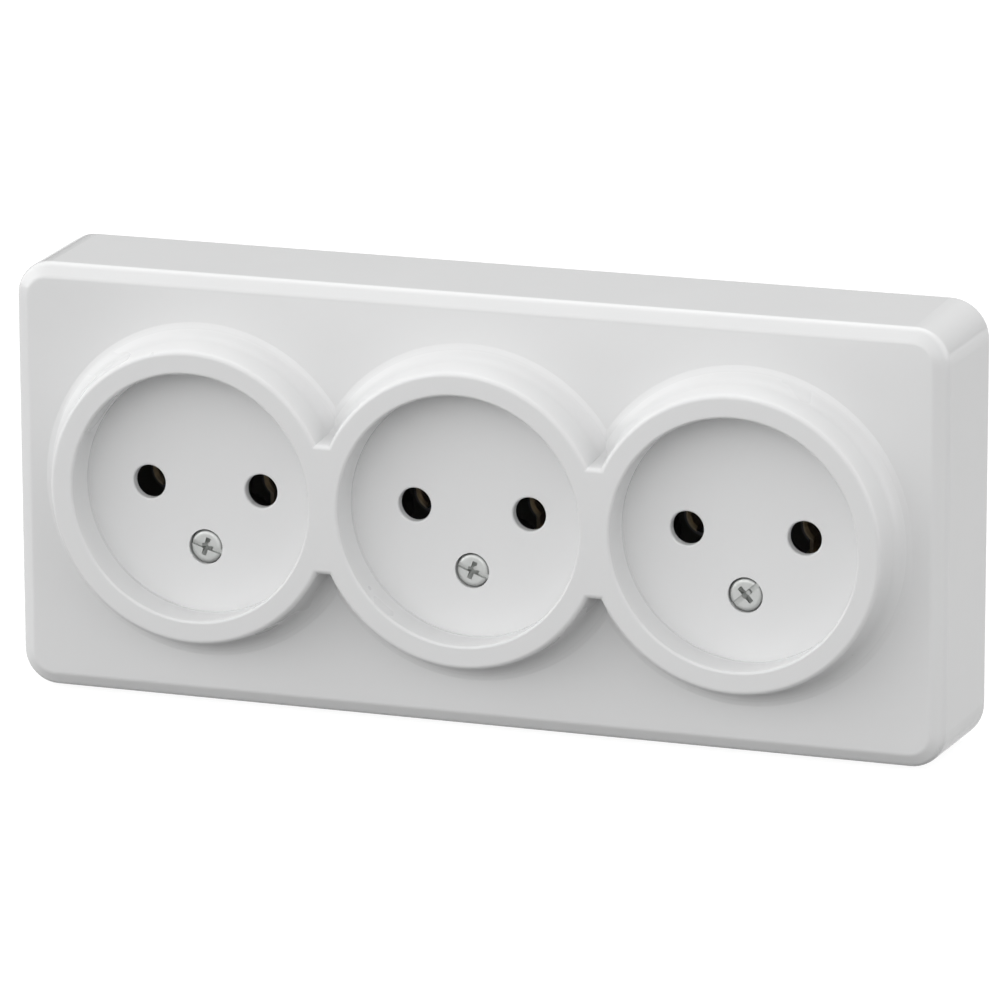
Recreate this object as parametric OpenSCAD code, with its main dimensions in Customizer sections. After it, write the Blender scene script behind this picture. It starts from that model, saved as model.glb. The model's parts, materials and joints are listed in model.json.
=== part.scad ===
// Triple wall socket for two-pin plugs, made to be fixed on the surface of a wall.
// The wall is the plane Y = 0, the front looks along -Y, X runs along the row and Z is up.
// Inside the modules x and y lie in the wall's plane and z is the height above the wall.

/* [Cover] */
// Height of the cover at the wall
cover_h = 70.4; // [68:0.2:90]
// Height of the front face above the wall
face_out = 20.6; // [20:0.2:28]
// Radius of the cover's corners at the wall
corner_r = 6.2; // [5.4:0.1:9]
// How far each side leans in between the wall and the front bevel
side_lean = 0.6; // [0.2:0.1:1.2]
// Width of the front bevel, seen from the front
bevel_w = 2.2; // [1.4:0.1:2.8]
// Depth of the front bevel
bevel_d = 1.2; // [0.8:0.1:2]
// Radius that softens the two edges of the bevel
edge_r = 1.4; // [0.8:0.1:1.8]
// Thickness of the side walls
wall_t = 2; // [1.6:0.1:2.4]
// Thickness of the front face
face_t = 2.2; // [1.8:0.1:2.6]

/* [Collars and wells] */
// Inner diameter of a collar, which is the mouth of its well
well_d = 39.8; // [38.6:0.1:40.2]
// Width of the land between two neighbouring wells
land_w = 5; // [4.6:0.1:8]
// Width of a collar's flat rim
rim_w = 3.7; // [3.4:0.1:4]
// Height of the rims above the front face
rim_h = 6.2; // [5.4:0.1:7]
// Depth of a well below its rim
well_depth = 6.6; // [5.6:0.1:7.4]
// Radius of the rounded mouth of a well
mouth_r = 0.5; // [0.3:0.05:0.7]
// Radius of the rim's outer edge
rim_edge_r = 0.8; // [0.4:0.05:1]
// Lean of a collar's flank, in degrees from straight out
flank_angle = 12; // [8:1:20]
// Radius of the hollow sweep from a collar's flank to the face
flank_r = 3; // [2.4:0.1:3.4]
// Length of the flat bridge between two collars
bridge_len = 20.6; // [18:0.2:24]
// Thickness of a well's side wall
cup_t = 1.8; // [1.4:0.1:2]
// Thickness of a well's floor
floor_t = 1.5; // [1.3:0.1:2]
// Thickness of the ribs that brace the wells
rib_t = 1.2; // [1:0.1:1.6]
// Depth of those ribs below the front face
rib_deep = 5; // [4:0.5:6]

/* [Pins] */
// Distance between the two pins of a plug
pin_spacing = 19; // [18.8:0.1:19.2]
// Diameter of a plug's pin
pin_d = 4.8; // [4.6:0.1:4.8]
// Length of a plug's pin
pin_len = 19; // [18:0.5:19]
// Diameter of the pin holes
pin_hole_d = 5.4; // [5.2:0.1:5.6]
// Radius of the rounded mouth of a pin hole
pin_mouth_r = 0.35; // [0.2:0.05:0.5]
// Height of the pin holes above the middle of the well
pin_rise = 0.4; // [0:0.1:1]

/* [Cover screws] */
// Distance of a cover screw below the middle of its well
screw_drop = 9.4; // [9.2:0.1:10]
// Diameter of the screw's thread
screw_d = 3; // [2.9:0.1:3.1]
// Diameter of the screw's head
head_d = 5.3; // [5.2:0.1:5.6]
// Height of the screw's head
head_h = 1.9; // [1.6:0.1:2]
// Length of the screw below its head
screw_len = 12; // [11:0.5:13]
// How far the head's top lies below the well's floor
head_sink = 0.15; // [0.05:0.05:0.3]
// Width of the driving slot and of the cross
slot_w = 0.8; // [0.7:0.05:0.9]
// Depth of the driving slot
slot_depth = 0.7; // [0.5:0.05:0.8]
// Span of the cross recess
cross_span = 3; // [2.6:0.1:3.2]
// Depth of the cross recess
cross_depth = 1.5; // [1.2:0.1:1.6]
// Outer diameter of the threaded bush that holds a cover screw
bush_d = 5; // [4.8:0.1:5.2]
// Length of the threaded bush
bush_len = 8; // [7:0.5:8.5]
// Diameter of a screw pillar
pillar_d = 9; // [8.6:0.1:9.2]

/* [Base] */
// Thickness of the base plate
base_t = 2; // [1.8:0.1:2.4]
// Gap all round between the base plate and the cover
base_gap = 0.3; // [0.2:0.05:0.5]
// Height of the rails that carry the bars
rail_h = 1; // [0.8:0.1:1.4]
// Height of the low wall that runs round the base plate
kerb_h = 3; // [2.4:0.1:4]
// Thickness of the low wall
kerb_t = 1.2; // [1:0.1:1.6]
// Height of the barriers between the poles, above the base plate
barrier_h = 11; // [9:0.5:12]
// Thickness of the barriers
barrier_t = 1.4; // [1.2:0.1:1.8]
// Width of the slots for the wall screws
slot_hole_w = 4.5; // [4:0.1:5]
// Length of the slots for the wall screws
slot_hole_len = 9; // [8:0.5:10]
// Height of the collar round a wall slot, above the base plate
guard_h = 5; // [4:0.5:7]
// Thickness of that collar
guard_t = 1.4; // [1.2:0.1:1.8]
// Width of the cable opening in the base plate
cable_w = 13; // [12:0.5:13.5]
// Height of the cable opening in the base plate
cable_h = 14; // [12:0.5:15]
// Thickness left in the break-out panel of the end wall
panel_t = 0.8; // [0.6:0.1:1]
// Height of that panel above the wall
panel_h = 9; // [7:0.5:11]

/* [Contacts] */
// Thickness of the sheet brass in the bars
bar_t = 0.8; // [0.7:0.05:1]
// Width of the bars
bar_w = 7; // [6.5:0.1:7.4]
// Thickness of the sheet brass in the jaws
jaw_t = 0.6; // [0.5:0.05:0.7]
// Gap between a jaw's trough and a pin
jaw_gap = 0.05; // [0.02:0.01:0.08]
// Inside width of a jaw's two legs
leg_gap = 2.6; // [2.4:0.1:2.8]
// Distance from the pin's middle to the back of its jaw
jaw_reach = 5.4; // [5.2:0.1:5.6]
// Height of a jaw
jaw_h = 8.5; // [8:0.5:10]
// Thickness of the steel spring round a jaw
spring_t = 0.5; // [0.4:0.05:0.6]
// Height of the steel spring
spring_h = 4; // [3.5:0.5:5]
// Height of the upright tabs that hold the jaws, above the bars
tab_h = 8; // [7:0.5:9]
// Diameter of a rivet's shank
rivet_d = 1.6; // [1.4:0.1:1.8]
// Distance from the last jaw to the middle of the terminals
terminal_step = 10.4; // [10.2:0.1:12]
// Free room between the terminals and the low wall of the base plate
terminal_room = 3.2; // [1:0.1:8]
// Diameter of a terminal screw's thread
terminal_d = 4; // [3.8:0.1:4]
// Diameter of a terminal screw's head
terminal_head_d = 7; // [6.6:0.1:7.2]
// Height of a terminal screw's head
terminal_head_h = 2.6; // [2.2:0.1:3]
// Side of the square clamp under a terminal screw
clamp_s = 8.4; // [8:0.1:8.6]
// Thickness of the clamp
clamp_t = 1.2; // [1:0.1:1.4]
// Side of the square nut under a bar
nut_s = 6.6; // [6.4:0.1:6.8]
// Diameter of the thread of the screws that hold the bars
bar_screw_d = 2.5; // [2.3:0.1:2.6]
// Diameter of the heads of those screws
bar_head_d = 4.6; // [4.4:0.1:5]
// Height of the heads of those screws
bar_head_h = 1.6; // [1.4:0.1:1.8]

/* [Hidden] */

// How far cuts run past the face they open
over = 1;
// Overlap that makes two bodies of one moulding grow together
grow = 0.02;
// How far a turned corner stands proud of the flat sides
proud = 0.002;
// Running gap round a shank, nut or bush
fit_gap = 0.05;
// Thickness left under blind holes in the base plate
skin = 0.7;
// Room round the shank of a screw in its clearance hole, on the diameter
shank_room = 0.4;
// Free length under the tip of a plug's pin
tip_gap = 0.5;
// Free length under the tip of a screw in its blind hole
screw_tip_gap = 0.2;
// Extra gap at the edge of the base plate for the lean of the walls
lean_room = 0.2;
// Distance from the edge of the base plate to its low wall
kerb_in = 1.6;

pitch = well_d + land_w;
socket_x = [-pitch, 0, pitch];
gap_x = [-pitch / 2, pitch / 2];
terminal_x = pitch + pin_spacing / 2 + terminal_step;
edge_in = wall_t + base_gap + lean_room;
cover_w = 2 * (terminal_x + clamp_s / 2 + terminal_room + kerb_t + kerb_in + edge_in);

rim_out = face_out + rim_h;
floor_out = rim_out - well_depth;
ceiling_out = face_out - face_t;
well_r = well_d / 2;
rim_r = well_r + rim_w;

// The hollow sweep of a flank ends at its lowest point, on the face
sweep_top = flank_r * (1 - sin(flank_angle));
sweep_in = flank_r * cos(flank_angle);
flank_rise = rim_h - sweep_top;
flank_spread = flank_rise * tan(flank_angle);
flank_reach = flank_spread + sweep_in;
collar_r = rim_r + flank_reach;
// Thickness of the moulding behind a flank, at its foot and at its crest
foot_t = 3;
crest_t = 1;
// Distance below the rim where the outside of a well's wall ends
cup_stop = 1.6;

screw_y = -screw_drop;
head_top = floor_out - head_sink;
head_seat = head_top - head_h;
head_gap = 0.2;
boss_t = 2;
boss_ledge = 0.5;
boss_sunk = 0.5;
pillar_out = head_seat - boss_t;
boss_r = pillar_d / 2 + boss_ledge;

bar_out = base_t + rail_h;
bar_top = bar_out + bar_t;
line_y = pin_rise + jaw_reach;
neutral_y = pin_rise - jaw_reach;
line_bar_y = line_y + bar_w / 2;
bar_clear = 1.2;
neutral_bar_y = screw_y - pillar_d / 2 - bar_clear - bar_w / 2;
terminal_screw_gap = 0.6;
terminal_hole_room = 0.3;

jaw_in_r = pin_d / 2 + jaw_gap;
jaw_out_r = jaw_in_r + jaw_t;
jaw_base = bar_out;
jaw_top = jaw_base + jaw_h;
leg_half = leg_gap / 2 + jaw_t;
tab_side = 1.5;
tab_w = 2 * (leg_half + tab_side);
rivet_up = 5;
rivet_z = bar_out + rivet_up;
rivet_inner_gap = 0.1;
rivet_inner_r = leg_gap / 2 - rivet_inner_gap;
rivet_inner_t = 0.4;
rivet_ledge = 0.9;
rivet_outer_r = rivet_d / 2 + rivet_ledge;
rivet_outer_t = 0.7;
rivet_taper = 0.5;
spring_down = 0.6;
spring_base = jaw_top - spring_h - spring_down;
spring_side = 0.3;
lead_in = 0.7;
lead_lip = 0.2;

cable_shift = 0.6;
cable_x = terminal_x + cable_shift;
cable_y = (line_bar_y + neutral_bar_y) / 2;
// The slots for the wall screws lie halfway between the bars
slot_y = cable_y;

function arc(cx, cy, r, from, to, steps) =
  [for (i = [0:steps]) let (a = from + (to - from) * i / steps) [cx + r * cos(a), cy + r * sin(a)]];

// Turns a body modelled lying on its back so that it hangs on the wall
module on_wall() {
  rotate([90, 0, 0])
    children();
}

// Moves its children to the axis of a pin; side is -1 for line and 1 for neutral
module at_pin(socket, side) {
  translate([socket_x[socket] + side * pin_spacing / 2, pin_rise, 0])
    children();
}

// Half section of the cover's side and front bevel, from the middle of a corner outwards
function side_half(reach) =
  let (
    lean_a = atan(side_lean / (face_out - bevel_d)),
    bevel_a = atan(bevel_d / bevel_w),
    low_turn = 90 - bevel_a - lean_a,
    low_cut = edge_r * tan(low_turn / 2),
    high_cut = edge_r * tan(bevel_a / 2),
    low = [reach - side_lean, face_out - bevel_d],
    high = [reach - side_lean - bevel_w, face_out],
    low_start = low + low_cut * [sin(lean_a), -cos(lean_a)],
    high_end = high - [high_cut, 0]
  )
  concat(
    [[reach, 0]],
    arc(low_start[0] - edge_r * cos(lean_a), low_start[1] - edge_r * sin(lean_a), edge_r,
        lean_a, 90 - bevel_a, 6),
    arc(high_end[0], high_end[1] - edge_r, edge_r, 90 - bevel_a, 90, 4)
  );

function mirrored(points) =
  concat(points, [for (i = [len(points) - 1:-1:0]) [-points[i][0], points[i][1]]]);

// Rounded box with leaning sides, made of two crossed prisms and a turned body at each corner.
// The corners stand a hair proud, so that they meet the flat sides on clean lines.
module leaning_box(w, h, r, section) {
  rotate([90, 0, 0])
    linear_extrude(h - 2 * r, center = true)
      polygon(mirrored(section[0]));
  rotate([90, 0, 90])
    linear_extrude(w - 2 * r, center = true)
      polygon(mirrored(section[1]));
  for (sx = [-1, 1])
    for (sy = [-1, 1])
      translate([sx * (w / 2 - r), sy * (h / 2 - r), 0])
        rotate_extrude($fn = 96)
          polygon(concat([[0, 0]], [for (p = section[2]) p + [proud, 0]],
                         [[0, section[2][len(section[2]) - 1][1]]]));
}

module outer_body() {
  leaning_box(cover_w, cover_h, corner_r,
    [side_half(cover_w / 2), side_half(cover_h / 2), side_half(corner_r)]);
}

// Half section of the hollow, which leans like the side walls
function hollow_half(reach) =
  let (lean = side_lean * ceiling_out / (face_out - bevel_d))
  [[reach - wall_t, 0], [reach - wall_t - lean, ceiling_out]];

module hollow() {
  leaning_box(cover_w, cover_h, corner_r,
    [hollow_half(cover_w / 2), hollow_half(cover_h / 2), hollow_half(corner_r)]);
}

// Half section of a raised rim: a flat top, a rounded edge, a leaning flank and a hollow sweep.
// The sweep dips a hair below the face, so that it meets the face on a clean line.
module rise_section(top_r) {
  dip = 0.02;
  edge_cut = rim_edge_r * tan((90 - flank_angle) / 2);
  turn = top_r - edge_cut;
  difference() {
    polygon(concat(
      [[0, ceiling_out + grow], [top_r + flank_reach, ceiling_out + grow], [top_r + flank_reach, face_out],
       [top_r + flank_spread, face_out + sweep_top]],
      arc(turn, rim_out - rim_edge_r, rim_edge_r, flank_angle, 90, 5),
      [[0, rim_out]]
    ));
    translate([top_r + flank_reach, face_out + flank_r - dip])
      circle(flank_r, $fn = 128);
  }
}

module collars() {
  for (x = socket_x)
    translate([x, 0, 0])
      rotate_extrude($fn = 180)
        rise_section(rim_r);
}

module bridges() {
  for (x = gap_x)
    translate([x, 0, 0])
      rotate([90, 0, 90])
        linear_extrude(pitch - 2 * well_r + 4 * mouth_r, center = true) {
          rise_section(bridge_len / 2);
          mirror([1, 0])
            rise_section(bridge_len / 2);
        }
}

// Space behind a collar's flank, which keeps the moulding evenly thick
module collar_core() {
  translate([0, 0, ceiling_out - grow])
    cylinder(h = rim_h - sweep_top, r1 = collar_r - foot_t, r2 = rim_r - crest_t, $fn = 120);
}

module well_cup() {
  translate([0, 0, floor_out - floor_t])
    cylinder(h = well_depth + floor_t - cup_stop, r = well_r + cup_t, $fn = 120);
}

// Space of a well with its rounded mouth
module well_space() {
  rotate_extrude($fn = 180)
    polygon(concat(
      [[0, floor_out], [well_r, floor_out]],
      arc(well_r + mouth_r, rim_out - mouth_r, mouth_r, 180, 95, 5),
      [[well_r + mouth_r, rim_out + over], [0, rim_out + over]]
    ));
}

// Hole for a plug's pin with its rounded mouth
module pin_hole() {
  hole_r = pin_hole_d / 2;
  rotate_extrude($fn = 64)
    polygon(concat(
      [[0, floor_out - floor_t - over], [hole_r, floor_out - floor_t - over]],
      arc(hole_r + pin_mouth_r, floor_out - pin_mouth_r, pin_mouth_r, 180, 95, 4),
      [[hole_r + pin_mouth_r, floor_out + over], [0, floor_out + over]]
    ));
}

module screw_boss() {
  translate([0, screw_y, pillar_out])
    cylinder(h = floor_out - pillar_out - boss_sunk, r = boss_r, $fn = 64);
}

module screw_passage() {
  translate([0, screw_y, pillar_out - over])
    cylinder(h = well_depth + floor_t + 2 * over, d = screw_d + shank_room, $fn = 48);
  translate([0, screw_y, head_seat])
    cylinder(h = well_depth, r = head_d / 2 + head_gap, $fn = 64);
}

// Ribs that brace the wells against the long walls
module cover_ribs() {
  for (x = socket_x)
    for (side = [-1, 1])
      translate([x - rib_t / 2, side > 0 ? well_r : -cover_h / 2 + wall_t / 2, ceiling_out - rib_deep])
        cube([rib_t, cover_h / 2 - wall_t / 2 - well_r, rib_deep + face_t / 2]);
}

// One moulding: box, collars, bridges, wells and screw seats
module front_cover() {
  color("white") on_wall() difference() {
    union() {
      difference() {
        union() {
          outer_body();
          collars();
          bridges();
        }
        hollow();
        for (x = socket_x)
          translate([x, 0, 0])
            collar_core();
      }
      for (x = socket_x)
        translate([x, 0, 0]) {
          well_cup();
          screw_boss();
        }
      cover_ribs();
    }
    for (x = socket_x)
      translate([x, 0, 0]) {
        well_space();
        screw_passage();
      }
    for (socket = [0:2])
      for (side = [-1, 1])
        at_pin(socket, side)
          pin_hole();
    translate([cover_w / 2 - wall_t - over, cable_y - cable_h / 2, -over])
      cube([wall_t + over - side_lean - panel_t, cable_h, over + panel_h]);
  }
}

// Flat plate with round corners
module plate(w, h, r, t) {
  translate([-w / 2 + r, -h / 2, 0])
    cube([w - 2 * r, h, t]);
  translate([-w / 2, -h / 2 + r, 0])
    cube([w, h - 2 * r, t]);
  for (sx = [-1, 1])
    for (sy = [-1, 1])
      translate([sx * (w / 2 - r), sy * (h / 2 - r), 0])
        cylinder(h = t, r = r, $fn = 64);
}

// Slot along x with round ends
module slot(len, w, h) {
  for (side = [-1, 1])
    translate([side * (len - w) / 2, 0, 0])
      cylinder(h = h, d = w, $fn = 48);
  translate([-(len - w) / 2, -w / 2, 0])
    cube([len - w, w, h]);
}

base_w = cover_w - 2 * edge_in;
base_h = cover_h - 2 * edge_in;
base_r = corner_r - wall_t - base_gap;
kerb_r = base_r - kerb_in;

module kerb() {
  translate([0, 0, base_t - grow])
    difference() {
      plate(base_w - 2 * kerb_in, base_h - 2 * kerb_in, kerb_r, kerb_h + grow);
      translate([0, 0, -over])
        plate(base_w - 2 * (kerb_in + kerb_t), base_h - 2 * (kerb_in + kerb_t), kerb_r - kerb_t / 2,
              kerb_h + 2 * over);
    }
}

bar_left = [socket_x[0] - pin_spacing / 2 - tab_w / 2, socket_x[0] + pin_spacing / 2 - tab_w / 2];
bar_right = terminal_x + clamp_s / 2;

module rail(from_x, y) {
  translate([from_x, y - bar_w / 2, base_t - grow])
    cube([bar_right - from_x, bar_w, rail_h + grow]);
}

// The screws that hold the bars stand halfway between two sockets
bar_screw_x = gap_x;
pocket_floor = floor_out - pin_len - tip_gap;
pocket_r = pin_d / 2 + 0.8;
pilot_room = 1;

module base_holes() {
  for (x = socket_x)
    translate([x, screw_y, pillar_out - bush_len])
      cylinder(h = bush_len + over, r = bush_d / 2 + fit_gap, $fn = 48);
  for (x = socket_x)
    translate([x, screw_y, head_seat - screw_len - pilot_room])
      cylinder(h = screw_len, d = screw_d + shank_room, $fn = 48);
  for (x = gap_x)
    translate([x, slot_y, -over])
      slot(slot_hole_len, slot_hole_w, base_t + guard_h + 2 * over);
  translate([cable_x - cable_w / 2, cable_y - cable_h / 2, -over])
    cube([cable_w, cable_h, base_t + 2 * over]);
  for (socket = [0:2])
    for (side = [-1, 1])
      at_pin(socket, side)
        translate([0, 0, pocket_floor])
          cylinder(h = base_t, r = pocket_r, $fn = 48);
  for (y = [line_bar_y, neutral_bar_y]) {
    translate([terminal_x - nut_s / 2 - fit_gap, y - nut_s / 2 - fit_gap, skin])
      cube([nut_s + 2 * fit_gap, nut_s + 2 * fit_gap, bar_out]);
    for (x = bar_screw_x)
      translate([x, y, skin])
        cylinder(h = bar_out, d = bar_screw_d + 2 * fit_gap, $fn = 32);
  }
}

// Barriers start inside a screw pillar and end just short of the line tabs
barrier_root = 0.6;
barrier_gap = 0.8;
barrier_from = screw_y + pillar_d / 2 - barrier_root;
barrier_to = line_y - barrier_gap;

module base_plate() {
  color("dimgray") on_wall() difference() {
    union() {
      plate(base_w, base_h, base_r, base_t);
      kerb();
      rail(bar_left[0], line_bar_y);
      rail(bar_left[1], neutral_bar_y);
      for (x = socket_x) {
        translate([x, screw_y, base_t - grow])
          cylinder(h = pillar_out - base_t + grow, d = pillar_d, $fn = 64);
        translate([x - barrier_t / 2, barrier_from, base_t - grow])
          cube([barrier_t, barrier_to - barrier_from, barrier_h + grow]);
      }
      for (x = gap_x)
        translate([x, slot_y, base_t - grow])
          slot(slot_hole_len + 2 * guard_t, slot_hole_w + 2 * guard_t, guard_h + grow);
    }
    base_holes();
  }
}

// Height of the domed edge of a screw head as a share of the head, and its width as a share of that
crown_share = 0.25;
crown_spread = 1.5;
// Chamfer under a screw's head
head_chamfer = 0.15;
// Radius of the cross recess at its bottom
cross_tip_r = 0.35;

// Cross whose four arms taper towards its bottom
module cross_recess(top) {
  flare = (cross_span / 2 - cross_tip_r) / cross_depth;
  intersection() {
    translate([0, 0, top - cross_depth])
      cylinder(h = cross_depth + over, r1 = cross_tip_r, r2 = cross_span / 2 + flare * over, $fn = 32);
    for (turn = [0, 90])
      rotate([0, 0, turn])
        translate([-cross_span, -slot_w / 2, top - cross_depth - over])
          cube([2 * cross_span, slot_w, cross_depth + 3 * over]);
  }
}

// Pan-head screw with a slot and a cross, its head's underside at z = 0
module pan_screw(thread_d, thread_len, head_dia, head_height, cross) {
  crown = head_height * crown_share;
  inner = head_dia / 2 - crown * crown_spread;
  difference() {
    union() {
      translate([0, 0, -thread_len])
        cylinder(h = thread_len + grow, d = thread_d, $fn = 48);
      rotate_extrude($fn = 72)
        polygon(concat(
          [[0, 0], [head_dia / 2 - head_chamfer, 0], [head_dia / 2, head_chamfer]],
          [for (a = [0:15:90]) [inner + crown * crown_spread * cos(a), head_height - crown * (1 - sin(a))]],
          [[0, head_height]]
        ));
    }
    translate([-head_dia, -slot_w / 2, head_height - slot_depth])
      cube([2 * head_dia, slot_w, slot_depth + over]);
    if (cross)
      cross_recess(head_height);
  }
}

// Each cover screw stopped at its own turn when it was tightened
screw_turn = [-17, -20, 42];

module cover_screw(socket) {
  color("silver") on_wall()
    translate([socket_x[socket], screw_y, head_seat])
      rotate([0, 0, screw_turn[socket]])
        pan_screw(screw_d, screw_len, head_d, head_h, true);
}

module screw_bush(socket) {
  color("goldenrod") on_wall()
    translate([socket_x[socket], screw_y, pillar_out - bush_len])
      difference() {
        cylinder(h = bush_len, d = bush_d, $fn = 48);
        translate([0, 0, -over])
          cylinder(h = bush_len + 2 * over, r = screw_d / 2 + fit_gap, $fn = 48);
      }
}

// Bar with an arm and an upright tab for each jaw; side is -1 for line and 1 for neutral
module bar(side, bar_y, tab_y, left_x) {
  toward = side < 0 ? 1 : -1;
  difference() {
    union() {
      translate([left_x, bar_y - bar_w / 2, bar_out])
        cube([bar_right - left_x, bar_w, bar_t]);
      for (x = socket_x)
        translate([x + side * pin_spacing / 2 - tab_w / 2, 0, bar_out]) {
          translate([0, toward > 0 ? tab_y : bar_y, 0])
            cube([tab_w, abs(bar_y - tab_y), bar_t]);
          translate([0, toward > 0 ? tab_y : tab_y - bar_t, 0])
            cube([tab_w, bar_t, tab_h]);
        }
    }
    for (x = socket_x)
      translate([x + side * pin_spacing / 2, tab_y, rivet_z])
        rotate([90, 0, 0])
          cylinder(h = 4 * bar_t, d = rivet_d + 2 * fit_gap, center = true, $fn = 32);
    for (x = bar_screw_x)
      translate([x, bar_y, bar_out - over])
        cylinder(h = bar_t + 2 * over, d = bar_screw_d + shank_room, $fn = 32);
    translate([terminal_x, bar_y, bar_out - over])
      cylinder(h = bar_t + 2 * over, d = terminal_d + terminal_hole_room, $fn = 48);
  }
}

module line_bar() {
  color("goldenrod") on_wall()
    bar(-1, line_bar_y, line_y, bar_left[0]);
}

module neutral_bar() {
  color("goldenrod") on_wall()
    bar(1, neutral_bar_y, neutral_y, bar_left[1]);
}

module bar_screws(bar_y) {
  color("silver") on_wall()
    for (x = bar_screw_x)
      translate([x, bar_y, bar_top])
        pan_screw(bar_screw_d, bar_top - skin - screw_tip_gap, bar_head_d, bar_head_h, false);
}

// Hairpin of sheet brass with a round trough in each leg, its back towards +y
module jaw() {
  translate([0, 0, jaw_base])
    difference() {
      linear_extrude(jaw_h)
        difference() {
          union() {
            circle(jaw_out_r, $fn = 64);
            translate([-leg_half, 0])
              square([2 * leg_half, jaw_reach]);
          }
          circle(jaw_in_r, $fn = 64);
          translate([-leg_gap / 2, -jaw_out_r - over])
            square([leg_gap, jaw_reach + jaw_out_r + over - jaw_t]);
        }
      translate([0, 0, jaw_h - lead_in])
        cylinder(h = lead_in + grow, r1 = jaw_in_r - grow, r2 = jaw_out_r - lead_lip, $fn = 64);
      translate([0, jaw_reach, rivet_z - jaw_base])
        rotate([90, 0, 0])
          cylinder(h = 4 * jaw_t, d = rivet_d + 2 * fit_gap, center = true, $fn = 32);
    }
}

module spring() {
  translate([0, 0, spring_base])
    linear_extrude(spring_h)
      difference() {
        circle(jaw_out_r + fit_gap + spring_t, $fn = 64);
        circle(jaw_out_r + fit_gap, $fn = 64);
        translate([-leg_half - spring_side, 0])
          square([2 * (leg_half + spring_side), jaw_reach]);
      }
}

module rivet() {
  translate([0, jaw_reach - jaw_t, rivet_z])
    rotate([-90, 0, 0]) {
      cylinder(h = jaw_t + bar_t + grow, d = rivet_d, $fn = 32);
      translate([0, 0, -rivet_inner_t])
        cylinder(h = rivet_inner_t, r = rivet_inner_r, $fn = 32);
      translate([0, 0, jaw_t + bar_t])
        cylinder(h = rivet_outer_t, r1 = rivet_outer_r, r2 = rivet_outer_r - rivet_taper, $fn = 32);
    }
}

// Line jaws have their backs up, neutral jaws have them down
module contact(socket, side) {
  at_pin(socket, side)
    rotate([0, 0, side < 0 ? 0 : 180])
      children();
}

module terminal_screw(bar_y) {
  color("silver") on_wall()
    translate([terminal_x, bar_y, bar_top + clamp_t])
      pan_screw(terminal_d, bar_top + clamp_t - skin - terminal_screw_gap, terminal_head_d,
                terminal_head_h, false);
}

module terminal_clamp(bar_y) {
  color("silver") on_wall()
    translate([terminal_x, bar_y, bar_top])
      difference() {
        translate([-clamp_s / 2, -bar_w / 2, 0])
          cube([clamp_s, bar_w, clamp_t]);
        translate([0, 0, -over])
          cylinder(h = clamp_t + 2 * over, d = terminal_d + terminal_hole_room, $fn = 48);
      }
}

module terminal_nut(bar_y) {
  color("goldenrod") on_wall()
    translate([terminal_x, bar_y, skin])
      difference() {
        translate([-nut_s / 2, -nut_s / 2, 0])
          cube([nut_s, nut_s, bar_out - skin]);
        translate([0, 0, -over])
          cylinder(h = bar_out + 2 * over, r = terminal_d / 2 + fit_gap, $fn = 48);
      }
}

module brass_jaw(socket, side) {
  color("gold") on_wall()
    contact(socket, side)
      jaw();
}

module steel_spring(socket, side) {
  color("lightsteelblue") on_wall()
    contact(socket, side)
      spring();
}

module brass_rivet(socket, side) {
  color("darkgoldenrod") on_wall()
    contact(socket, side)
      rivet();
}

front_cover();
base_plate();
cover_screw(0);  // cover_screw_left
cover_screw(1);  // cover_screw_middle
cover_screw(2);  // cover_screw_right
screw_bush(0);  // screw_bush_left
screw_bush(1);  // screw_bush_middle
screw_bush(2);  // screw_bush_right
line_bar();
neutral_bar();
bar_screws(line_bar_y);  // line_bar_screws
bar_screws(neutral_bar_y);  // neutral_bar_screws
brass_jaw(0, -1);  // line_jaw_left
brass_jaw(1, -1);  // line_jaw_middle
brass_jaw(2, -1);  // line_jaw_right
brass_jaw(0, 1);  // neutral_jaw_left
brass_jaw(1, 1);  // neutral_jaw_middle
brass_jaw(2, 1);  // neutral_jaw_right
steel_spring(0, -1);  // line_spring_left
steel_spring(1, -1);  // line_spring_middle
steel_spring(2, -1);  // line_spring_right
steel_spring(0, 1);  // neutral_spring_left
steel_spring(1, 1);  // neutral_spring_middle
steel_spring(2, 1);  // neutral_spring_right
brass_rivet(0, -1);  // line_rivet_left
brass_rivet(1, -1);  // line_rivet_middle
brass_rivet(2, -1);  // line_rivet_right
brass_rivet(0, 1);  // neutral_rivet_left
brass_rivet(1, 1);  // neutral_rivet_middle
brass_rivet(2, 1);  // neutral_rivet_right
terminal_screw(line_bar_y);  // line_terminal_screw
terminal_screw(neutral_bar_y);  // neutral_terminal_screw
terminal_clamp(line_bar_y);  // line_terminal_clamp
terminal_clamp(neutral_bar_y);  // neutral_terminal_clamp
terminal_nut(line_bar_y);  // line_terminal_nut
terminal_nut(neutral_bar_y);  // neutral_terminal_nut
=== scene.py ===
"""Looks, light and camera for a white triple wall socket in its CAD frame, in metres."""
import json
import math

import bpy
from mathutils import Matrix, Vector


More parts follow.
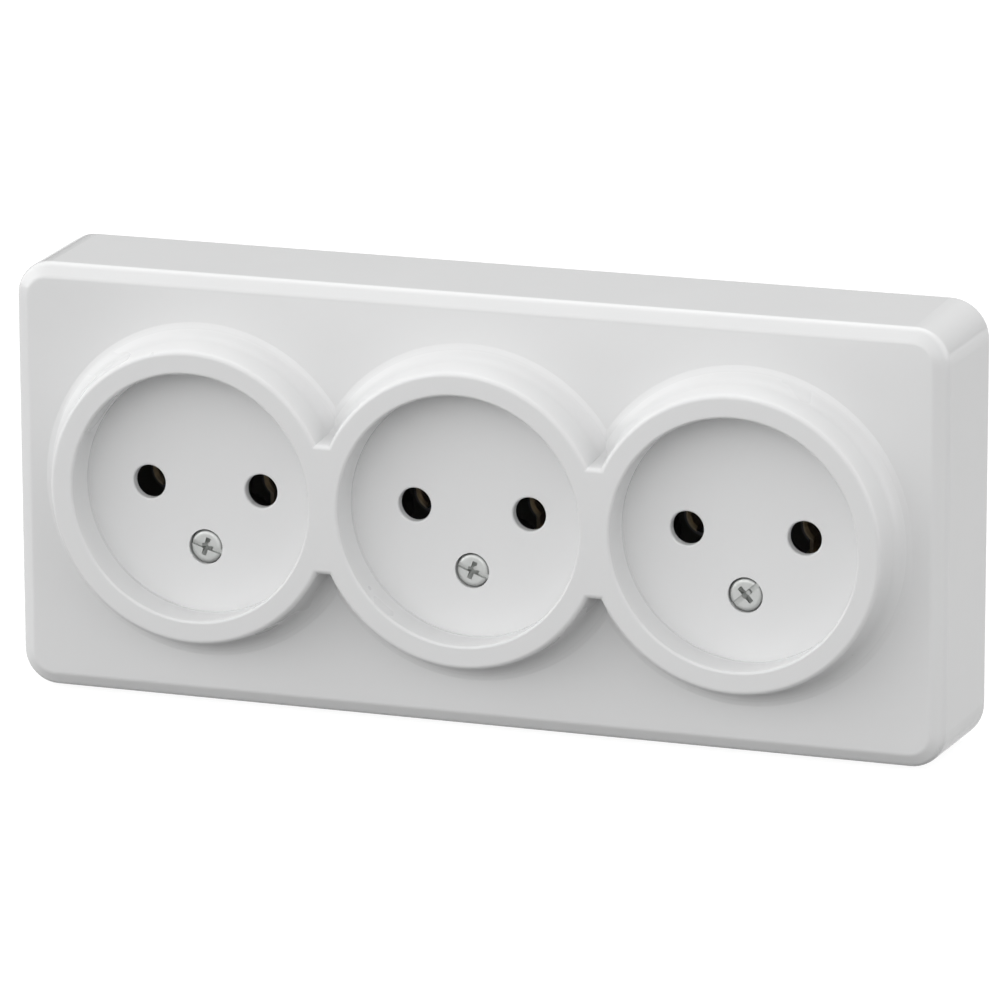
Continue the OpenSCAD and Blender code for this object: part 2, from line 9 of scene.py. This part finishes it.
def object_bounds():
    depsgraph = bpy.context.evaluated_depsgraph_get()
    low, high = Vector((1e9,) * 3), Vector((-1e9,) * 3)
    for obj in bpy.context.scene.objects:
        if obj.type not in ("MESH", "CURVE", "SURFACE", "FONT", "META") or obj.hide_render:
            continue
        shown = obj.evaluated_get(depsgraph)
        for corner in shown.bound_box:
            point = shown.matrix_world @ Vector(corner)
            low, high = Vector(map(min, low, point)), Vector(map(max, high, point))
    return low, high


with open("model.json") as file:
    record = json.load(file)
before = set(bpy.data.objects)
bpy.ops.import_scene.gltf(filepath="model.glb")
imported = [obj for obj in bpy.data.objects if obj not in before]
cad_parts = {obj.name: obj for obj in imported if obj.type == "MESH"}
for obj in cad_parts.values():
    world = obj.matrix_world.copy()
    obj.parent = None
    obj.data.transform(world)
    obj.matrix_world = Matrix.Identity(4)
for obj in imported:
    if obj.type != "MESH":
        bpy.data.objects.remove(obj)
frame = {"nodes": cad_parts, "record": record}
cad_low, cad_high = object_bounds()

MM = 0.001

# Sizes of the object that the materials and the light refer to
PITCH = 44.8 * MM
RIM_OUT = 26.8 * MM
FLOOR_OUT = 20.2 * MM
FACE_OUT = 20.6 * MM
WELL_RADIUS = 19.9 * MM

# The camera stands to the right of the object and above it, and looks through a long lens
CAMERA_AZIMUTH = 20.03
CAMERA_ELEVATION = 14.23
CAMERA_ROLL = -0.19
CAMERA_DISTANCE = 1104.0 * MM
CAMERA_TARGET = Vector((7.11 * MM, -RIM_OUT, 4.14 * MM))
FOCAL_IN_FRAMES = 7.155
SENSOR = 36.0
CLIP_NEAR = 0.05
CLIP_FAR = 50.0


def toward(azimuth, elevation):
    """Direction as seen from the object; azimuth 0 is its front and elevation 90 is straight up."""
    a = math.radians(azimuth)
    e = math.radians(elevation)
    return Vector((math.sin(a) * math.cos(e), -math.cos(a) * math.cos(e), math.sin(e)))


def add_camera():
    azimuth = math.radians(CAMERA_AZIMUTH)
    back = toward(CAMERA_AZIMUTH, CAMERA_ELEVATION)
    right = Vector((math.cos(azimuth), math.sin(azimuth), 0.0))
    up = back.cross(right)
    roll = Matrix.Rotation(math.radians(CAMERA_ROLL), 3, back)
    right = roll @ right
    up = roll @ up
    data = bpy.data.cameras.new("camera")
    data.sensor_width = SENSOR
    data.lens = FOCAL_IN_FRAMES * SENSOR
    data.clip_start = CLIP_NEAR
    data.clip_end = CLIP_FAR
    camera = bpy.data.objects.new("camera", data)
    bpy.context.scene.collection.objects.link(camera)
    camera.matrix_world = Matrix((
        (right.x, up.x, back.x, 0.0),
        (right.y, up.y, back.y, 0.0),
        (right.z, up.z, back.z, 0.0),
        (0.0, 0.0, 0.0, 1.0),
    ))
    camera.location = CAMERA_TARGET + CAMERA_DISTANCE * back
    bpy.context.scene.camera = camera


class Nodes:
    """A node tree of a material or the world, with short calls for the nodes used here."""

    def __init__(self, tree):
        self.tree = tree

    def new(self, kind, **settings):
        node = self.tree.nodes.new(kind)
        for key, value in settings.items():
            setattr(node, key, value)
        return node

    def link(self, source, target):
        self.tree.links.new(source, target)

    def value(self, target, source):
        """Set a socket to a number or join it to another socket."""
        if isinstance(source, (int, float)):
            target.default_value = source
        else:
            self.link(source, target)

    def math(self, operation, *sources, clamp=False):
        node = self.new("ShaderNodeMath", operation=operation, use_clamp=clamp)
        for socket, source in zip(node.inputs, sources):
            self.value(socket, source)
        return node.outputs[0]

    def position(self):
        return self.new("ShaderNodeTexCoord").outputs["Object"]

    def axes(self, vector):
        node = self.new("ShaderNodeSeparateXYZ")
        self.link(vector, node.inputs[0])
        return node.outputs

    def length(self, across, along):
        """Length of a flat offset that is given by its two parts."""
        squares = [self.math("MULTIPLY", part, part) for part in (across, along)]
        return self.math("SQRT", self.math("ADD", *squares))

    def noise(self, vector, scale, detail=2.0, roughness=0.5):
        node = self.new("ShaderNodeTexNoise")
        node.inputs["Scale"].default_value = scale
        node.inputs["Detail"].default_value = detail
        node.inputs["Roughness"].default_value = roughness
        self.link(vector, node.inputs["Vector"])
        return node.outputs["Fac"]

    def fade(self, value, low, high, low_to=0.0, high_to=1.0):
        node = self.new("ShaderNodeMapRange", interpolation_type="SMOOTHSTEP")
        self.link(value, node.inputs["Value"])
        node.inputs["From Min"].default_value = low
        node.inputs["From Max"].default_value = high
        node.inputs["To Min"].default_value = low_to
        node.inputs["To Max"].default_value = high_to
        return node.outputs["Result"]

    def spread(self, noise, low_to, high_to):
        """Turn a noise into an even spread of values between two ends."""
        return self.fade(noise, NOISE_LOW, NOISE_HIGH, low_to, high_to)

    def bump(self, height, distance, strength=1.0, normal=None):
        node = self.new("ShaderNodeBump")
        node.inputs["Distance"].default_value = distance
        self.value(node.inputs["Strength"], strength)
        self.link(height, node.inputs["Height"])
        if normal is not None:
            self.link(normal, node.inputs["Normal"])
        return node.outputs["Normal"]

    def rounded(self, radius):
        """Normal that makes sharp edges look rounded."""
        node = self.new("ShaderNodeBevel", samples=BEVEL_SAMPLES)
        node.inputs["Radius"].default_value = radius
        return node.outputs["Normal"]

    def shade(self, color, factor):
        node = self.new("ShaderNodeVectorMath", operation="SCALE")
        self.link(color, node.inputs[0])
        self.link(factor, node.inputs["Scale"])
        return node.outputs[0]

    def tone(self, factor, dark, light):
        node = self.new("ShaderNodeMix", data_type="RGBA")
        self.value(node.inputs["Factor"], factor)
        node.inputs[6].default_value = (*dark, 1.0)
        node.inputs[7].default_value = (*light, 1.0)
        return node.outputs[2]

    def mixed(self, factor, first, second):
        node = self.new("ShaderNodeMixShader")
        self.link(factor, node.inputs[0])
        self.link(first.outputs[0], node.inputs[1])
        self.link(second.outputs[0], node.inputs[2])
        return node.outputs[0]


NOISE_LOW = 0.3
NOISE_HIGH = 0.7
BEVEL_SAMPLES = 6
WHITE = (1.0, 1.0, 1.0, 1.0)


def new_material(name):
    """A material with its node calls and the sockets of its Principled shader."""
    material = bpy.data.materials.new(name)
    material.use_nodes = True
    n = Nodes(material.node_tree)
    return material, n, material.node_tree.nodes["Principled BSDF"].inputs


# Two tones that the white moulding drifts between; its satin rims are darkened by painted shade and its
# wells lightened by painted light against the face
WHITE_DARK = (0.688, 0.690, 0.691)
WHITE_LIGHT = (0.710, 0.712, 0.713)
RIM_PAINTED_SHADE = 0.99
WELL_PAINTED_LIGHT = 1.05
# Roughness of the face, and what the collars, their rims and the well floors add to it
FACE_ROUGH = (0.11, 0.14)
COLLAR_ROUGHER = 0.16
RIM_ROUGHER = 0.10
FLOOR_ROUGHER = 0.42
PLASTIC_IOR = 1.5


def cover_material():
    """Glossy white moulding; the rims are satin and the well floors have a fine spark texture."""
    material, n, shader = new_material("white_moulding")
    position = n.position()
    x, y, z = n.axes(position)
    # Masks: distance from the nearest well's axis, height above the wall, and what lies where
    radius = n.length(n.math("WRAP", x, PITCH / 2, -PITCH / 2), z)
    out = n.math("MULTIPLY", y, -1.0)
    in_row = n.math("LESS_THAN", n.math("ABSOLUTE", x), 1.5 * PITCH)
    inside = n.math("LESS_THAN", radius, WELL_RADIUS - 0.15 * MM)
    low = n.math("LESS_THAN", out, FLOOR_OUT + 0.2 * MM)
    front = n.math("GREATER_THAN", out, FLOOR_OUT - 1.2 * MM)
    floor = n.math("MULTIPLY", n.math("MULTIPLY", inside, low), n.math("MULTIPLY", front, in_row))
    rim = n.math("GREATER_THAN", out, RIM_OUT - 0.1 * MM)
    collar = n.math("GREATER_THAN", out, FACE_OUT + 0.3 * MM)
    well_wide = n.math("MULTIPLY", n.math("LESS_THAN", radius, WELL_RADIUS + 0.3 * MM), in_row)
    painted_light_wells = n.math("MULTIPLY", well_wide, n.math("LESS_THAN", out, RIM_OUT - 0.5 * MM))

    cloud = n.noise(position, 55.0, 3.0)
    pebble = n.noise(position, 900.0, 1.0)
    grain = n.noise(position, 5200.0, 2.0, 0.6)
    # Painted light in the wells and painted shade on the rims: the moulding itself is one colour there
    tone = n.math("MULTIPLY_ADD", painted_light_wells, WELL_PAINTED_LIGHT - 1.0, 1.0)
    tone = n.math("MULTIPLY_ADD", rim, RIM_PAINTED_SHADE - 1.0, tone)
    n.link(n.shade(n.tone(cloud, WHITE_DARK, WHITE_LIGHT), tone), shader["Base Color"])

    rough = n.math("MULTIPLY_ADD", collar, COLLAR_ROUGHER, n.spread(cloud, *FACE_ROUGH))
    rough = n.math("MULTIPLY_ADD", rim, RIM_ROUGHER, rough)
    n.link(n.math("MULTIPLY_ADD", floor, FLOOR_ROUGHER, rough), shader["Roughness"])

    wave = n.bump(cloud, 0.05 * MM, 0.35)
    skin = n.bump(pebble, 0.004 * MM, 0.5, wave)
    n.link(n.bump(grain, 0.02 * MM, n.math("MULTIPLY", floor, 0.5), skin), shader["Normal"])
    shader["IOR"].default_value = PLASTIC_IOR
    return material


def base_material():
    """Dark phenolic moulding with a dull, slightly mottled skin."""
    material, n, shader = new_material("dark_moulding")
    position = n.position()
    mottle = n.noise(position, 260.0, 4.0, 0.6)
    grain = n.noise(position, 2400.0)
    dark = (0.115, 0.110, 0.105)
    light = (0.150, 0.143, 0.135)
    n.link(n.tone(mottle, dark, light), shader["Base Color"])
    n.link(n.spread(mottle, 0.42, 0.55), shader["Roughness"])
    n.link(n.bump(grain, 0.02 * MM, 0.5, n.rounded(0.15 * MM)), shader["Normal"])
    return material


# The metals: name, dark and light tone, least and most roughness, fineness of grain, edge radius
METALS = {
    "brass": ("stamped_brass", (0.50, 0.43, 0.33), (0.64, 0.56, 0.43), 0.28, 0.42, 1500.0, 0.05 * MM),
    "zinc": ("zinc_plate", (0.43, 0.44, 0.43), (0.55, 0.56, 0.55), 0.38, 0.52, 2600.0, 0.06 * MM),
    "spring_steel": ("spring_steel", (0.20, 0.20, 0.22), (0.30, 0.30, 0.32), 0.28, 0.4, 1800.0, 0.04 * MM),
}
# The grain is drawn out upwards, and the blotches are this much coarser than it
GRAIN_STRETCH = (1.0, 1.0, 0.18)
BLOTCH_SHARE = 0.12


def metal_material(name, dark, light, rough_low, rough_high, scale, edge):
    material, n, shader = new_material(name)
    position = n.position()
    stretch = n.new("ShaderNodeMapping")
    stretch.inputs["Scale"].default_value = GRAIN_STRETCH
    n.link(position, stretch.inputs["Vector"])
    grain = n.noise(stretch.outputs[0], scale, 3.0, 0.6)
    blotch = n.noise(position, scale * BLOTCH_SHARE, 3.0)
    n.link(n.tone(blotch, dark, light), shader["Base Color"])
    shader["Metallic"].default_value = 1.0
    n.link(n.spread(grain, rough_low, rough_high), shader["Roughness"])
    n.link(n.bump(grain, 0.01 * MM, 0.35, n.rounded(edge)), shader["Normal"])
    return material


def dress_nodes():
    """Give every node of the frame the material of its slot."""
    made = {"cover": cover_material(), "base": base_material()}
    for slot, look in METALS.items():
        made[slot] = metal_material(*look)
    slots = {part["node"]: part["material_slot"] for part in frame["record"]["subparts"]}
    for name, piece in frame["nodes"].items():
        piece.data.materials.clear()
        piece.data.materials.append(made[slots[name]])


FLOOR_HALF = 6.0
# The floor's tone to the camera, the share of light it throws back on the object, and the strength
# it is seen with by the camera and in the gloss of the object
FLOOR_TONE = 0.90
FLOOR_BOUNCE = 0.12
FLOOR_SEEN = 1.15
FLOOR_MIRRORED = 1.0
# The part of what is seen of the floor that glows by itself; the rest takes light and shadow
FLOOR_GLOW = 0.8
# A round pool of painted glow on the floor in front, seen only in the gloss of the object: a painted
# reflection on the upper part of the face
POOL_PAINTED_REFLECTION = 2.6
POOL_MIDDLE = (-95.0 * MM, -374.0 * MM)
POOL_RADIUS = 109.0 * MM
POOL_SOFT = 4.0 * MM


def stage_material():
    """Pale floor that keeps the object's shadow and is white where it is lit; a round pool on it glows
    only in the object's gloss, as a painted reflection.
    """
    material, n, shader = new_material("pale_floor")
    rays = n.new("ShaderNodeLightPath").outputs
    by_camera = rays["Is Camera Ray"]
    by_gloss = rays["Is Glossy Ray"]
    own_tone = n.math("MULTIPLY_ADD", by_camera, FLOOR_TONE - FLOOR_BOUNCE, FLOOR_BOUNCE)
    n.link(own_tone, shader["Base Color"])
    shader["Roughness"].default_value = 0.9
    shader["Specular IOR Level"].default_value = 0.1

    x, y, _ = n.axes(n.position())
    # Painted reflection: inside the pool the floor glows brighter, but only for the object's gloss
    distance = n.length(n.math("SUBTRACT", x, POOL_MIDDLE[0]), n.math("SUBTRACT", y, POOL_MIDDLE[1]))
    painted_pool = n.fade(distance, POOL_RADIUS - POOL_SOFT, POOL_RADIUS + POOL_SOFT, 1.0, 0.0)
    mirrored = n.math("MULTIPLY_ADD", painted_pool, POOL_PAINTED_REFLECTION, FLOOR_MIRRORED)
    glow = n.new("ShaderNodeEmission")
    glow.inputs["Color"].default_value = WHITE
    camera_part = n.math("MULTIPLY", by_camera, FLOOR_SEEN)
    n.link(n.math("ADD", camera_part, n.math("MULTIPLY", by_gloss, mirrored)), glow.inputs["Strength"])

    share = n.math("MULTIPLY", n.math("ADD", by_camera, by_gloss, clamp=True), FLOOR_GLOW)
    nodes = material.node_tree.nodes
    floor = n.mixed(share, nodes["Principled BSDF"], glow)
    n.link(floor, nodes["Material Output"].inputs["Surface"])
    return material


def add_stage():
    """Flat floor at the height of the object's lowest point."""
    height = cad_low[2]
    corners = [(-1, -1), (1, -1), (1, 1), (-1, 1)]
    mesh = bpy.data.meshes.new("floor")
    mesh.from_pydata([(FLOOR_HALF * x, FLOOR_HALF * y, height) for x, y in corners], [], [(0, 1, 2, 3)])
    mesh.materials.append(stage_material())
    floor = bpy.data.objects.new("floor", mesh)
    bpy.context.scene.collection.objects.link(floor)


# Light of the room all round, and its brighter parts: azimuth and elevation in degrees, strength
ROOM_LIGHT = 0.076
ROOM_PARTS = {
    "front": (0, 10, 2.01),
    "front_left": (-35, 15, 0.67),
    "left": (-75, 15, 3.13),
    "right": (75, 15, 2.12),
    "back_right": (115, 25, 0.73),
    "back_top": (0, 110, 2.10),
}
# How fast each part falls off around its direction
PART_FALLOFF = 6.0


def add_world():
    """Soft room: it brightens smoothly towards a few directions and is white behind the object."""
    world = bpy.data.worlds.new("studio")
    bpy.context.scene.world = world
    world.use_nodes = True
    world.node_tree.nodes.clear()
    n = Nodes(world.node_tree)
    direction = n.new("ShaderNodeTexCoord").outputs["Generated"]
    strength = ROOM_LIGHT
    for azimuth, elevation, power in ROOM_PARTS.values():
        dot = n.new("ShaderNodeVectorMath", operation="DOT_PRODUCT")
        dot.inputs[1].default_value = toward(azimuth, elevation)
        n.link(direction, dot.inputs[0])
        lobe = n.math("POWER", n.math("MAXIMUM", dot.outputs["Value"], 0.0), PART_FALLOFF)
        strength = n.math("MULTIPLY_ADD", lobe, power, strength)
    room = n.new("ShaderNodeBackground")
    room.inputs["Color"].default_value = WHITE
    n.link(strength, room.inputs["Strength"])
    white = n.new("ShaderNodeBackground")
    white.inputs["Color"].default_value = WHITE
    white.inputs["Strength"].default_value = 1.0
    rays = n.new("ShaderNodeLightPath").outputs
    seen = n.math("MAXIMUM", rays["Is Camera Ray"], rays["Is Transmission Ray"])
    n.link(n.mixed(seen, room, white), n.new("ShaderNodeOutputWorld").inputs["Surface"])


add_camera()
dress_nodes()
add_stage()
add_world()

scene = bpy.context.scene
scene.view_settings.view_transform = "Standard"
